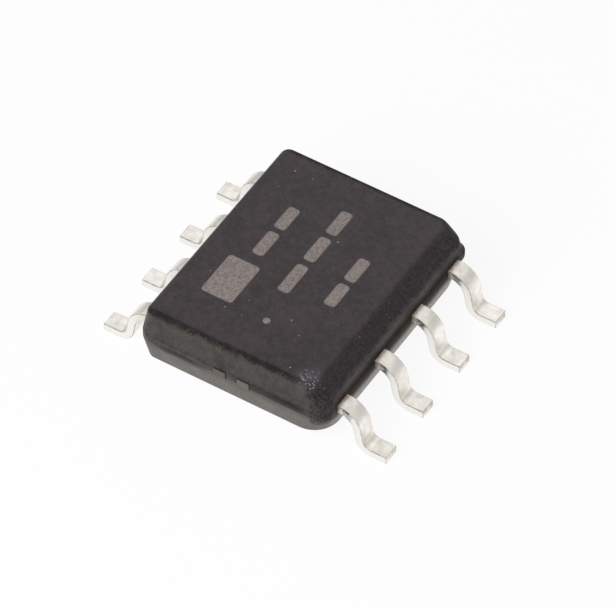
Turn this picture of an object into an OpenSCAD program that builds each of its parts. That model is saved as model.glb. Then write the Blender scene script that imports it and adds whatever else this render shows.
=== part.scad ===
// Eight-lead chip in a gull-wing small-outline package: an epoxy body moulded around a stamped lead frame.
// Millimetres. X runs along the body, Y across the two rows of leads, Z up from the board it stands on.

/* [Body] */
// Length of the body at the rim where the two mould halves meet
body_length = 4.95; // [4.80:0.01:5.00]
// Width of the body at that rim
body_width = 3.99; // [3.80:0.01:4.00]
// Height of the top face above the board
overall_height = 1.52; // [1.46:0.01:1.75]
// Gap between the board and the underside of the body
standoff = 0.25; // [0.10:0.01:0.25]
// Lean of the moulded walls from the vertical
draft_angle = 7; // [5:0.5:9]
// Step from the rim in to the foot of the upper wall
upper_ledge = 0.02; // [0.015:0.005:0.05]
// Step from the rim in to the lower wall
lower_ledge = 0.03; // [0.015:0.005:0.05]
// Corner radius of the rim, seen from above
rim_corner_radius = 0.25; // [0.15:0.01:0.30]
// Corner radius of both walls at the rim, on the plain side
plain_wall_radius = 0.12; // [0.08:0.01:0.25]
// Corner radius of both walls at the rim, on the bevelled side
bevel_wall_radius = 0.20; // [0.15:0.01:0.30]
// Corner radius of the top face on the plain side
plain_top_radius = 0.18; // [0.12:0.01:0.40]
// Corner radius of the top face where it meets the bevel
bevel_top_radius = 0.22; // [0.12:0.01:0.40]
// Corner radius of the wall below the bevel
bevel_foot_radius = 0.28; // [0.12:0.01:0.40]
// Corner radius of the bottom face on the plain side
plain_bottom_radius = 0.18; // [0.16:0.01:0.50]
// Corner radius of the bottom face on the bevelled side
bevel_bottom_radius = 0.55; // [0.20:0.01:0.60]
// Rounding of the edges around the top face
top_edge_radius = 0.11; // [0.03:0.01:0.12]
// Rounding of the edge around the bottom face
bottom_edge_radius = 0.11; // [0.05:0.01:0.15]
// How far the bevel on the first lead row reaches in over the top face
bevel_setback = 0.30; // [0.20:0.01:0.45]
// Slope of the bevel below the horizontal
bevel_angle = 42; // [35:1:50]

/* [Leads] */
// Thickness of the lead frame strip
frame_thickness = 0.17; // [0.15:0.01:0.20]
// Height of the underside of the flat lead frame above the board
frame_height = 0.785; // [0.75:0.005:0.85]
// Distance between neighbouring leads of one row
lead_pitch = 1.27; // [1.20:0.01:1.30]
// Width of a lead
lead_width = 0.36; // [0.31:0.01:0.50]
// Distance between the tips of the two lead rows
lead_span = 6.04; // [5.95:0.01:6.20]
// Flat length of a foot, from its tip to the heel bend
foot_length = 0.32; // [0.28:0.01:0.36]
// Inside radius of the heel bend above the foot
heel_radius = 0.17; // [0.12:0.01:0.19]
// Inside radius of the shoulder bend beside the body
shoulder_radius = 0.315; // [0.25:0.005:0.33]
// Lean of the leg between the two bends from the vertical
leg_lean = 10; // [4:1:14]
// Distance from the middle of the body to the inner tip of a lead
finger_start = 1.2; // [1.15:0.01:1.3]
// Length of the wide head at the inner tip of a lead
finger_head_length = 0.42; // [0.30:0.01:0.50]
// Width of that head
finger_head_width = 0.62; // [0.55:0.01:0.80]
// Corner radius of that head
finger_head_radius = 0.08; // [0.04:0.01:0.12]

/* [Die paddle] */
// Length of the paddle that carries the die
paddle_length = 3.0; // [2.4:0.05:3.2]
// Width of the paddle
paddle_width = 1.9; // [1.7:0.05:2.1]
// Corner radius of the paddle
paddle_corner_radius = 0.12; // [0.05:0.01:0.20]
// Drop of the paddle below the flat lead frame
paddle_downset = 0.20; // [0.12:0.01:0.25]
// Level run of a tie bar beside the paddle, before it slopes up
tie_bar_foot = 0.12; // [0.06:0.01:0.20]
// Length over which a tie bar slopes up to the lead frame
tie_bar_slope = 0.24; // [0.18:0.01:0.30]
// Width of a tie bar
tie_bar_width = 0.25; // [0.20:0.01:0.35]
// Distance between the two tie bars of one end
tie_bar_spacing = 0.50; // [0.45:0.01:0.80]
// How far the sheared tie bar ends stand proud of the rim
tie_bar_proud = 0.02; // [0.01:0.005:0.05]

/* [Die] */
// Length of the silicon die
die_length = 1.6; // [1.4:0.05:2.0]
// Width of the silicon die
die_width = 1.3; // [1.1:0.05:1.5]
// Thickness of the silicon die
die_thickness = 0.25; // [0.20:0.01:0.28]
// Thickness of the adhesive layer under the die
attach_thickness = 0.03; // [0.02:0.005:0.05]
// How far the adhesive is squeezed out around the die
attach_margin = 0.06; // [0.03:0.01:0.10]

/* [Bond wires] */
// Diameter of a bond wire
wire_diameter = 0.05; // [0.025:0.005:0.06]
// Rise of a wire's arch, as a share of its span
wire_rise = 0.20; // [0.15:0.01:0.24]
// Diameter of the pressed ends of a wire, on the die and on the lead
bond_diameter = 0.12; // [0.10:0.01:0.14]
// Height of those pressed ends
bond_height = 0.04; // [0.03:0.005:0.05]
// Distance between neighbouring bonds on the die
bond_pitch = 0.40; // [0.30:0.01:0.44]
// Distance from the edge of the die to the middle of a bond
bond_inset = 0.12; // [0.10:0.01:0.20]

/* [Hidden] */
pins = 8;
pins_per_row = pins / 2;

epoxy_colour = "#474347";
tin_colour = "#d9d5cf";
copper_colour = "#b98468";
adhesive_colour = "#b9b6b0";
silicon_colour = "#5a5f6b";
wire_colour = "#d8b25a";

curve_sides = 32;
edge_sides = 24;

// Levels of the lead frame, the paddle and the die
frame_top = frame_height + frame_thickness;
frame_middle = frame_height + frame_thickness / 2;
paddle_bottom = frame_height - paddle_downset;
paddle_top = paddle_bottom + frame_thickness;
die_bottom = paddle_top + attach_thickness;
die_top = die_bottom + die_thickness;

// Moulded walls: how far they stand from the middle of the body at the height of the rim and above or below it
wall_slope = tan(draft_angle);
function wall_retreat(height) = wall_slope * (height > frame_middle ? height - frame_top : frame_height - height);
function ledge(height) = height > frame_middle ? upper_ledge : lower_ledge;
function half_length(height) = body_length / 2 - ledge(height) - wall_retreat(height);
function half_width(height) = body_width / 2 - ledge(height) - wall_retreat(height);

// Bevel: horizontal run and drop from the top face down to the wall
bevel_run = bevel_setback / (1 - tan(bevel_angle) * wall_slope);
bevel_drop = bevel_run * tan(bevel_angle);

// Inward normals of the faces in a cross-section, as [across, up], on the +Y side unless named for the bevel
top_normal = [0, -1];
bottom_normal = [0, 1];
upper_wall_normal = [-cos(draft_angle), -sin(draft_angle)];
lower_wall_normal = [-cos(draft_angle), sin(draft_angle)];
bevel_normal = [-sin(bevel_angle), -cos(bevel_angle)];

// Middle of a rounding of the given radius in the corner between two faces
function rounding_middle(corner, normal_a, normal_b, radius) =
    corner + radius * (normal_a + normal_b) / (1 + normal_a * normal_b);

// Lead profile, as [outward, up]: middles of the two bends, and the straight leg between them
leg_turn = 90 - leg_lean;
leg_normal = [sin(leg_turn), cos(leg_turn)];
leg_direction = [cos(leg_turn), -sin(leg_turn)];
shoulder_outer = shoulder_radius + frame_thickness;
bend_radii = shoulder_outer + heel_radius;
shoulder_up = frame_top - shoulder_outer;
heel_middle = [lead_span / 2 - foot_length, frame_thickness + heel_radius];
leg_length = (shoulder_up - heel_middle[1] + bend_radii * leg_normal[1]) / sin(leg_turn);
shoulder_middle = [heel_middle[0] - bend_radii * leg_normal[0] - leg_length * leg_direction[0], shoulder_up];

// Places of the leads and of the wire ends
function row_side(pin) = pin <= pins_per_row ? -1 : 1;
function row_place(pin) = (pin <= pins_per_row ? pin : pins + 1 - pin) - (pins_per_row + 1) / 2;
function lead_x(pin) = row_place(pin) * lead_pitch;
function die_bond(pin) = [row_place(pin) * bond_pitch, row_side(pin) * (die_width / 2 - bond_inset)];
function lead_bond(pin) = [lead_x(pin), row_side(pin) * (finger_start + finger_head_length / 2)];

// Plan outline with true round corners
module rounded_rectangle(length, width, radius) {
    square([length - 2 * radius, width], center = true);
    square([length, width - 2 * radius], center = true);
    for (x = [-1, 1], y = [-1, 1])
        translate([x * (length / 2 - radius), y * (width / 2 - radius)])
            circle(radius, $fn = curve_sides);
}

// Two rounded corners of a moulded half, at both ends of the body
module corner_pair(middle, side, corner_radius, edge_radius) {
    for (x = [-1, 1])
        translate([
            x * (half_length(middle[1]) - corner_radius),
            side * (middle[0] - corner_radius + edge_radius),
            middle[1]
        ])
            rotate_extrude($fn = curve_sides)
                intersection() {
                    translate([corner_radius - edge_radius, 0])
                        circle(edge_radius, $fn = edge_sides);
                    translate([0, -edge_radius])
                        square([corner_radius, 2 * edge_radius]);
                }
}

// Four corners where a moulded wall starts inside the rim, above or below the middle of the lead frame.
// Their thin discs lie wholly within the rim, so that the wall leaves the rim at its own slope.
module rim_corners(half) {
    depth = frame_thickness / 8;
    height = frame_middle + half * 2 * depth;
    for (x = [-1, 1], y = [-1, 1]) {
        radius = y > 0 ? plain_wall_radius : bevel_wall_radius;
        translate([
            x * (half_length(height) - radius),
            y * (half_width(height) - radius),
            height - half * depth / 2
        ])
            cylinder(depth, r = radius, center = true, $fn = curve_sides);
    }
}

// Upper moulded half, with its bevel along the first row of leads
module upper_half() {
    plain_corner = [half_width(overall_height), overall_height];
    bevel_top = [half_width(overall_height) - bevel_setback, overall_height];
    bevel_foot = [bevel_top[0] + bevel_run, overall_height - bevel_drop];
    hull() {
        rim_corners(1);
        corner_pair(
            rounding_middle(plain_corner, top_normal, upper_wall_normal, top_edge_radius),
            1, plain_top_radius, top_edge_radius
        );
        corner_pair(
            rounding_middle(bevel_top, top_normal, bevel_normal, top_edge_radius),
            -1, bevel_top_radius, top_edge_radius
        );
        corner_pair(
            rounding_middle(bevel_foot, bevel_normal, upper_wall_normal, top_edge_radius),
            -1, bevel_foot_radius, top_edge_radius
        );
    }
}

// Lower moulded half
module lower_half() {
    corner = [half_width(standoff), standoff];
    middle = rounding_middle(corner, bottom_normal, lower_wall_normal, bottom_edge_radius);
    hull() {
        rim_corners(-1);
        corner_pair(middle, 1, plain_bottom_radius, bottom_edge_radius);
        corner_pair(middle, -1, bevel_bottom_radius, bottom_edge_radius);
    }
}

// Rim of lead frame thickness where the mould halves met
module rim() {
    translate([0, 0, frame_height])
        linear_extrude(frame_thickness)
            rounded_rectangle(body_length, body_width, rim_corner_radius);
}

// Epoxy body, cast around the lead frame, the die and the wires
module moulded_body() {
    color(epoxy_colour)
        difference() {
            union() {
                upper_half();
                lower_half();
                rim();
            }
            for (pin = [1 : pins]) {
                lead(pin);
                bond_wire(pin);
            }
            die_paddle();
            die_attach();
            die();
        }
}

// Ring sector of strip thickness, from one angle to another, for a bend in the lead profile
module strip_bend(inner_radius, from_angle, to_angle) {
    outer_radius = inner_radius + frame_thickness;
    reach = 2 * outer_radius;
    middle_angle = (from_angle + to_angle) / 2;
    intersection() {
        difference() {
            circle(outer_radius, $fn = 2 * curve_sides);
            circle(inner_radius, $fn = 2 * curve_sides);
        }
        polygon([
            [0, 0],
            reach * [cos(from_angle), sin(from_angle)],
            reach * [cos(middle_angle), sin(middle_angle)],
            reach * [cos(to_angle), sin(to_angle)]
        ]);
    }
}

// Side view of a straight strip, with pointed ends that reach into the bends beside it
module straight_strip(length, start_point, end_point) {
    polygon([
        [0, 0],
        [length, 0],
        [length + end_point, frame_thickness / 2],
        [length, frame_thickness],
        [0, frame_thickness],
        [-start_point, frame_thickness / 2]
    ]);
}

// Side view of a lead, from the middle of its head over the shoulder and down to the tip of its foot
module lead_profile() {
    point = frame_thickness / 4;
    shank = shoulder_middle[0] - finger_start - finger_head_length / 2;
    translate(shoulder_middle) {
        translate([-shank, shoulder_radius])
            straight_strip(shank, 0, point);
        strip_bend(shoulder_radius, 90 - leg_turn, 90);
        translate(shoulder_radius * leg_normal)
            rotate(-leg_turn)
                straight_strip(leg_length, point, point);
        translate(heel_middle - shoulder_middle) {
            strip_bend(heel_radius, 270 - leg_turn, 270);
            translate([0, -heel_radius - frame_thickness])
                straight_strip(foot_length, point, 0);
        }
    }
}

// One gull-wing lead, with the wide head that holds it in the body
module lead(pin) {
    color(tin_colour)
        translate([lead_x(pin), 0, 0])
            rotate(row_side(pin) < 0 ? 180 : 0) {
                translate([0, finger_start + finger_head_length / 2, frame_height])
                    linear_extrude(frame_thickness)
                        rounded_rectangle(finger_head_width, finger_head_length, finger_head_radius);
                rotate([90, 0, 90])
                    linear_extrude(lead_width, center = true)
                        lead_profile();
            }
}

// Side view of one tie bar, from the paddle out to its sheared end
module tie_bar_profile() {
    slope_start = paddle_length / 2 + tie_bar_foot;
    slope_end = slope_start + tie_bar_slope;
    sheared_end = body_length / 2 + tie_bar_proud;
    root = paddle_length / 2 - paddle_corner_radius;
    polygon([
        [root, paddle_bottom],
        [slope_start, paddle_bottom],
        [slope_end, frame_height],
        [sheared_end, frame_height],
        [sheared_end, frame_top],
        [slope_end, frame_top],
        [slope_start, paddle_top],
        [root, paddle_top]
    ]);
}

// Paddle under the die, with two tie bars at each end
module die_paddle() {
    color(copper_colour) {
        translate([0, 0, paddle_bottom])
            linear_extrude(frame_thickness)
                rounded_rectangle(paddle_length, paddle_width, paddle_corner_radius);
        for (end = [0, 180], side = [-1, 1])
            rotate(end)
                translate([0, side * tie_bar_spacing / 2, 0])
                    rotate([90, 0, 0])
                        linear_extrude(tie_bar_width, center = true)
                            tie_bar_profile();
    }
}

// Adhesive layer, squeezed out a little around the die
module die_attach() {
    color(adhesive_colour)
        translate([0, 0, paddle_top])
            linear_extrude(attach_thickness)
                rounded_rectangle(
                    die_length + 2 * attach_margin,
                    die_width + 2 * attach_margin,
                    attach_margin
                );
}

// Silicon die
module die() {
    color(silicon_colour)
        translate([-die_length / 2, -die_width / 2, die_bottom])
            cube([die_length, die_width, die_thickness]);
}

// One wire, arched from its bond on the die over to its bond on the head of its lead
module bond_wire(pin) {
    start = die_bond(pin);
    way = lead_bond(pin) - start;
    run = norm(way);
    drop = die_top - frame_top;
    tilt = atan2(drop, run);
    chord = norm([run, drop]);
    rise = wire_rise * chord;
    radius = (chord * chord / 4 + rise * rise) / (2 * rise);
    half_angle = asin(chord / (2 * radius));
    // The ends of the arch lie on the die and on the lead, with a sliver of clearance
    seat = wire_diameter * 0.52;
    color(wire_colour)
        translate([start[0], start[1], 0])
            rotate(atan2(way[1], way[0])) {
                translate([0, 0, die_top])
                    cylinder(bond_height, d = bond_diameter, $fn = curve_sides);
                translate([
                    run / 2 - (radius - rise) * sin(tilt),
                    0,
                    frame_top + drop / 2 + seat - (radius - rise) * cos(tilt)
                ])
                    rotate([90, 0, 0])
                        rotate(90 - tilt - half_angle)
                            rotate_extrude(angle = 2 * half_angle, $fn = 4 * curve_sides)
                                translate([radius, 0])
                                    circle(d = wire_diameter, $fn = curve_sides);
                translate([run, 0, frame_top])
                    cylinder(bond_height, d = bond_diameter, $fn = curve_sides);
            }
}

moulded_body();
die_paddle();
die_attach();
die();
for (pin = [1 : pins]) {
    lead(pin);
    bond_wire(pin);
}
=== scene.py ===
"""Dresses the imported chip: a moulded epoxy body, formed tin-plated leads and the parts sealed inside."""

import math

import bpy
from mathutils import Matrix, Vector


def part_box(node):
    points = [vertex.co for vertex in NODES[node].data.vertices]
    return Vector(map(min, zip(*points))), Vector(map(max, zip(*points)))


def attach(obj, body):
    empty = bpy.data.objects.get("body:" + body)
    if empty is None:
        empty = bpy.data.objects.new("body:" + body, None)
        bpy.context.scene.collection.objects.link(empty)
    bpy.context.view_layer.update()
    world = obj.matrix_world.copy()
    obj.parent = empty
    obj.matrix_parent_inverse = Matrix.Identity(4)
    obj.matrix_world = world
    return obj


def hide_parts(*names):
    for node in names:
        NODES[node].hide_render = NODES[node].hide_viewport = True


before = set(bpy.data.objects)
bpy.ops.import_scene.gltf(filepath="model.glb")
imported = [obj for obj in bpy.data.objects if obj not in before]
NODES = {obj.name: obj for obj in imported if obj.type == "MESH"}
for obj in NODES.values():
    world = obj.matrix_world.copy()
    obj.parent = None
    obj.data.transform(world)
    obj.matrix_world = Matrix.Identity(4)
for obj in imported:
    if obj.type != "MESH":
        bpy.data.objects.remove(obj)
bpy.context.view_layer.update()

bl_info = {
    "name": "Gull-wing chip",
    "version": (1, 0, 0),
    "blender": (4, 5, 0),
    "location": "View3D > Sidebar > Chip",
    "description": "Builds the visible pieces of an eight-lead chip around its CAD solids",
    "category": "Object",
}

MM = 0.001
LEAD_NODES = [f"lead_{pin}" for pin in range(1, 9)]
WIRE_NODES = [f"bond_wire_{pin}" for pin in range(1, 9)]
BODY_LOW, BODY_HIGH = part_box("moulded_body")
LEAD_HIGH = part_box("lead_5")[1]

# Attributes of the leads: how far a point is on a sheared edge, and how far on a side of the strip.
EDGE = "edge"
SIDE = "side"

# Kinds of node, each with its settings, that are used in many places.
RAMP = "ShaderNodeMapRange", {"interpolation_type": "LINEAR"}
FADE = "ShaderNodeMapRange", {"interpolation_type": "SMOOTHSTEP"}
COLOURS = "ShaderNodeMix", {"data_type": "RGBA"}
NUMBERS = "ShaderNodeMix", {"data_type": "FLOAT"}
SUM = "ShaderNodeMath", {"operation": "ADD"}
DIFFERENCE = "ShaderNodeMath", {"operation": "SUBTRACT"}
PRODUCT = "ShaderNodeMath", {"operation": "MULTIPLY"}
SCALED_SUM = "ShaderNodeMath", {"operation": "MULTIPLY_ADD"}
LARGER = "ShaderNodeMath", {"operation": "MAXIMUM"}
UNSIGNED = "ShaderNodeMath", {"operation": "ABSOLUTE"}

# Plain marks on the top face, a block, seven bars and a dot, in millimetres: middle along and across the
# body, length and height.
MARKS = (
    (-0.94, 0.99, 1.00, 0.66),
    (0.12, 0.91, 0.62, 0.24), (0.84, 0.91, 0.58, 0.24),
    (-0.34, 0.04, 0.74, 0.24), (0.49, 0.04, 0.64, 0.24), (1.24, 0.04, 0.62, 0.24),
    (-0.26, -0.84, 0.58, 0.24), (0.44, -0.84, 0.60, 0.24),
    (-1.45, -0.10, 0.14, 0.14),
)
# Their rounded corners, of which the dot is made, how far the grain frays their edges, and the height below
# which nothing is marked.
MARK_CORNER = 0.07
MARK_FRAY = 0.05
MARK_FLOOR = 1.5

# Patterns of the epoxy, by size in millimetres, detail and roughness: slow clouds, the grain that spark
# erosion gave the mould, drawn several times coarser than the real one so that it shows, and blots of resin.
EPOXY_PATTERNS = ((0.6, 4.0, 0.6), (0.048, 3.0, 0.75), (0.17, 2.0, 0.5))
# Cells of the filler that shows as specks, and of the grit on a bruise, in millimetres.
SPECK_SIZE = 0.12
GRIT_SIZE = 0.036
# Measures frayed by a pattern: the measure, the pattern, and how far that shifts it, in millimetres.
EPOXY_FRAYS = {
    "ragged": ("along", "grain", 0.20), "jagged": ("z", "blotch", -0.24), "frayed": ("z", "grain", 0.14)}

# Bands of the epoxy's finish: what is measured, where the band starts and where it is full, in millimetres,
# its strength there, and how it rises in between.
EPOXY_BANDS = {
    "end": ("along", 2.33, 2.39, 1.0, FADE),
    "toward_end": ("along", 1.6, 2.35, 1.0, RAMP),
    "inside": ("along", 2.20, 2.05, 1.0, RAMP),
    "outer": ("ragged", 2.355, 2.405, 1.0, FADE),
    "side": ("across", 1.885, 1.925, 1.0, FADE),
    "off_corner": ("across", 1.75, 1.40, 1.0, RAMP),
    "bevel": ("y", -1.58, -1.68, 0.78, FADE),
    "toward_bevel": ("y", 0.2, -1.1, 1.0, RAMP),
    "from_bevel": ("y", 0.5, 0.9, 1.0, RAMP),
    "corner": ("corner", 4.13, 4.36, 1.0, FADE),
    "lower": ("height", 0.80, 0.60, 1.0, RAMP),
    "flank": ("z", 0.26, 0.34, 1.0, FADE),
    "raised": ("jagged", 1.28, 1.41, 0.85, FADE),
    "above": ("frayed", 0.52, 0.86, 1.0, FADE),
    "below": ("frayed", 1.20, 1.04, 1.0, FADE),
    "over_rim": ("frayed", 0.80, 0.99, 0.8, FADE),
    "under_wall": ("frayed", 1.08, 1.00, 1.0, FADE),
    "over_skirt": ("frayed", 0.73, 0.81, 0.65, FADE),
    "under_rim": ("frayed", 0.97, 0.91, 1.0, FADE),
}
# Places of the epoxy where several bands or patterns meet.
EPOXY_OVERLAPS = {
    "upper_side": ("side", "upper"),
    "lower_side": ("lower", "inside"),
    "low_painted_reflection": ("lower", "flank", "reflection_patchiness"),
    "side_dust": ("upper_side", "thin"),
    "end_edge": ("outer", "raised"),
    "rim_between_leads": ("above", "below", "inside", "side"),
    "end_seam": ("over_rim", "under_wall", "toward_bevel", "end", "off_corner"),
    "below_end_seam": ("over_skirt", "under_rim", "from_bevel", "end", "off_corner"),
}
# Where the corners of the bevelled side start and are full, measured across the corner, and how far the upper
# half's colour and the painted shade on it run down there. Then the foot and the top of those corners, and
# how far they lean in between. In millimetres.
CORNER_RUN = (3.98, 4.20, 0.20)
CORNER_LEAN = (0.955, 1.52, 0.465)
# The bruise on a corner, its pale grit partly a painted highlight: its middle, where its grit starts to thin
# out and where it ends, in millimetres, and the share of the grit's cells that stay bare in its middle.
BRUISE = ((-2.20, -1.48, 1.50), 0.08, 0.34, 0.44)

# Patterns of the tin, by size in millimetres and detail: its mottle and its patchy wear.
TIN_PATTERNS = ((0.16, 4.0), (0.09, 3.0))
# Bands of the tin's finish: what is measured, where the band starts and where it is full, in millimetres, and
# its strength there.
TIN_BANDS = {
    "beside": ("across", 2.45, 2.10, 0.6),
    "root": ("across", 2.09, 2.00, 0.75),
    "past_body": ("y", -2.07, -2.12, 1.0),
    "before_bend": ("y", -2.32, -2.22, 1.0),
}

# Grey cards round the chip: which side, their turn from there, and their lower and upper edges seen from the
# chip, in degrees.
CARDS = {"left_card": (-1, 32, 25, 92), "right_card": (1, 0, 3, 42), "back_card": (1, 103, 0, 15)}

# Into how many steps each rounding is cut, and the fold past which a mesh is shaded sharp.
CORNER_STEPS = 10
EDGE_STEPS = 8
TOP_EDGE_STEPS = 14
RIM_STEPS = 5
STRIP_EDGE_STEPS = 4
SHOULDER_STEPS = 14
HEEL_STEPS = 12
TIP_STEPS = 5
CARD_STEPS = 8
SHARP_FOLD = math.radians(38)
# Slack for rounding errors in heights.
ROUND_OFF = 1e-9


def linear(hex_colour):
    """Turns an sRGB hex value into linear red, green and blue."""
    channels = (int(hex_colour[i:i + 2], 16) / 255 for i in (1, 3, 5))
    return tuple(c / 12.92 if c <= 0.04045 else ((c + 0.055) / 1.055) ** 2.4 for c in channels)


def rgba(colour):
    """A colour property as the four values that a colour socket takes."""
    return (*colour, 1.0)


def number(name, description, value, **settings):
    """A number property that is not negative."""
    return bpy.props.FloatProperty(name=name, description=description, default=value, min=0, **settings)


def length(name, description, millimetres):
    """A length property, given in millimetres and kept in metres."""
    return number(name, description, millimetres * MM, precision=6, unit="LENGTH")


def angle(name, description, degrees):
    """An angle property, given in degrees and kept in radians."""
    return bpy.props.FloatProperty(
        name=name, description=description, default=math.radians(degrees), subtype="ANGLE")


def colour(name, description, hex_colour):
    """A colour property, given as an sRGB hex value and kept linear."""
    return bpy.props.FloatVectorProperty(
        name=name, description=description, default=linear(hex_colour), min=0, max=1, size=3, subtype="COLOR")


class ChipBodySizes(bpy.types.PropertyGroup):
    """Sizes of the moulded body. Its outer box comes from the CAD solid."""

    draft: angle("Draft", "Lean of the mould's walls", 7)
    rim_low: length("Rim low", "Height of the lower face of the lead frame", 0.785)
    rim_high: length("Rim high", "Height of the upper face of the lead frame", 0.955)
    upper_ledge: length("Upper ledge", "Step from the rim in to the upper walls", 0.02)
    lower_ledge: length("Lower ledge", "Step from the rim in to the lower walls", 0.03)
    rim_edge: length("Rim edge", "How far the blend into the walls starts inside the rim", 0.03)
    rim_cove: length("Rim cove", "How far the blend into the walls reaches past the rim", 0.05)
    rim_corner: length("Rim corner", "Corner radius of the rim", 0.22)
    plain_wall: length("Plain wall corner", "Corner radius beside the rim, on the plain side", 0.12)
    plain_end: length("Plain end corner", "Corner radius at the top and bottom, on the plain side", 0.18)
    bevel_wall: length("Bevel wall corner", "Corner radius beside the rim, on the bevelled side", 0.26)
    bevel_foot: length("Bevel foot corner", "Corner radius at the foot of the bevel", 0.32)
    bevel_top: length("Bevel top corner", "Corner radius at the top of the bevel", 0.24)
    bevel_bottom: length("Bevel bottom corner", "Corner radius underneath, on the bevelled side", 0.55)
    top_edge: length("Top edge", "Rounding of the upper edges", 0.11)
    bevel_edge: length("Bevel edge", "Rounding at the foot of the bevel", 0.11)
    bottom_edge: length("Bottom edge", "Rounding of the lower edges", 0.11)
    bevel_setback: length("Bevel setback", "How far the bevel cuts into the top face", 0.30)
    bevel_angle: angle("Bevel angle", "Slope of the bevel below the top face", 42)


class ChipLeadSizes(bpy.types.PropertyGroup):
    """Sizes of one formed lead and of its row. Its outer box comes from the CAD solid."""

    per_row: bpy.props.IntProperty(
        name="Leads per row", description="Leads on each long side", default=4, min=1)
    spacing: length("Spacing", "Distance from one lead to the next", 1.27)
    width: length("Width", "Width of the strip outside the body", 0.36)
    thickness: length("Thickness", "Thickness of the strip", 0.17)
    foot: length("Foot", "Length of the flat foot", 0.32)
    heel: length("Heel", "Inner radius of the bend above the foot", 0.17)
    shoulder: length("Shoulder", "Inner radius of the bend beside the body", 0.315)
    lean: angle("Lean", "Lean of the leg from upright", 10)
    root: length("Root", "Place across the body where the drawn strip starts, inside the epoxy", 1.90)
    edge: length("Edge", "Rounding along the strip's edges", 0.022)
    tip_edge: length("Tip edge", "Rounding round the cut tip", 0.018)


class ChipFinishes(bpy.types.PropertyGroup):
    """Colours of the finishes."""

    # Also the colour of the painted shade on the upper end edges, the bevel and its corners.
    epoxy_dark: colour("Epoxy, dark", "Resin-rich parts of the moulding compound", "#120e10")
    epoxy_wall: colour("Epoxy, walls", "Filler-rich parts of the compound, on the end walls", "#36342c")
    epoxy_top: colour("Epoxy, top", "Filler-rich parts of the compound, on the top and sides", "#392d32")
    # Painted reflection: the lower half's lighter colours stand in for the white floor that it mirrors. The
    # second is also the thin dust on the walls along the leads.
    lower_painted_reflection: colour("Epoxy, lower half", "Dust on the lower half, at the ends", "#5b564f")
    dust_and_lower_painted_reflection: colour("Epoxy, dusty", "Dust on the lower half, along the leads", "#887e6c")
    # The dark brown of the ragged band along the rim between the leads.
    flash: colour("Flash", "Resin torn along the rim between the leads", "#33251a")
    marking: colour("Marking", "Epoxy burnt pale by the laser that marks the top", "#968b86")
    filler: colour("Filler", "Grains of silica that reach the surface", "#a19c9c")
    # Partly a painted highlight on the knocked corner.
    crushed: colour("Crushed filler", "Filler crushed to pale grit where a corner was knocked", "#a0a3aa")
    tin_dark: colour("Tin, dark", "Handled and creased plating", "#ece5dc")
    tin_pale: colour("Tin, pale", "Clean plating", "#fdfbf5")
    tin_sheared: colour("Tin, sheared", "Plating over the sheared sides of a lead", "#f5f3ef")
    copper: colour("Copper", "Sheared end of a tie bar", "#746860")
    copper_smeared: colour("Copper, smeared", "Sheared end of a tie bar under smeared tin", "#76716c")
    # A painted shadow: the dark patch on the sides of the leads just past the body.
    painted_shadow_patch: colour("Stub", "Torn stub of a dam bar on the side of a lead", "#4b4a4e")
    tin_stained: colour("Tin, stained", "Plating stained brown by the resin beside the body", "#a98f68")
    tin_worn: colour("Tin, worn", "Sheared and rubbed edges of a lead", "#c6bcb1")
    adhesive: colour("Adhesive", "Silver-filled die adhesive", "#b6b1aa")
    adhesive_flakes: colour("Adhesive, flakes", "Flakes of silver in the adhesive", "#ece5dc")
    silicon: colour("Silicon", "Polished silicon", "#555a66")
    silicon_pale: colour("Silicon, pale", "Silicon under thin oxide", "#6a7080")
    gold: colour("Gold", "Drawn gold wire", "#d7b158")
    gold_pale: colour("Gold, pale", "Gold wire where the tool pressed it", "#e6c878")
    paper: colour("Paper", "Floor under the chip", "#ffffff")


class ChipStage(bpy.types.PropertyGroup):
    """Camera and light."""

    azimuth: angle("Azimuth", "Turn of the camera round the chip, from the bevelled side", -57.912)
    elevation: angle("Elevation", "Height of the camera above the horizon", 48.452)
    distance: length("Distance", "From the camera to the point it looks at", 111.23)
    aim_right: length("Aim right", "The point looked at, to the right of the origin", 0.0475)
    aim_up: length("Aim up", "The point looked at, above the origin in the picture", 0.349)
    lens: number("Lens", "Focal length in millimetres on a 36 mm sensor", 356.9)
    softbox_size: length("Softbox size", "Side of the square lamp", 70)
    softbox_distance: length("Softbox distance", "From the lamp to the chip", 90)
    softbox_place: bpy.props.FloatVectorProperty(
        name="Softbox place", description="Direction from the chip to the lamp", default=(-0.75, 0.20, 0.63),
        size=3, subtype="XYZ")
    softbox_power: number("Softbox power", "Power of the lamp", 0.09, precision=4, unit="POWER")
    card_distance: length("Card distance", "From the chip to each grey card", 30)
    card_width: length("Card width", "Width of each grey card", 50)
    left_card: number("Left card", "Brightness of the card at the left", 0.5)
    right_card: number("Right card", "Brightness of the card at the right", 0.55)
    back_card: number("Back card", "Brightness of the low card behind the chip", 0.05)
    room: number("Room", "Brightness of the room as it lights matt surfaces", 0.22)
    white: number("White", "How far the paper shows as plain white", 0.92, max=1)


def add_node(tree, kind, settings=None, inputs=None):
    """Adds a node, sets its properties and sockets, and links each socket that is given a node or an output.

    A node stands for the first of its outputs that its settings leave in use.
    """
    node = tree.nodes.new(kind)
    node.location = (200 * len(tree.nodes), 0)
    for name, value in (settings or {}).items():
        setattr(node, name, value)
    for name, value in (inputs or {}).items():
        if isinstance(value, bpy.types.Node):
            value = next(socket for socket in value.outputs if socket.enabled)
        if isinstance(value, bpy.types.NodeSocket):
            tree.links.new(value, node.inputs[name])
        else:
            node.inputs[name].default_value = value
    return node


def new_material(name):
    """An empty material, and its tree."""
    material = bpy.data.materials.new(name)
    material.use_nodes = True
    material.node_tree.nodes.clear()
    return material, material.node_tree


def per_mm(size):
    """The scale of a pattern whose features are this many millimetres across."""
    return 1 / (size * MM)


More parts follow.
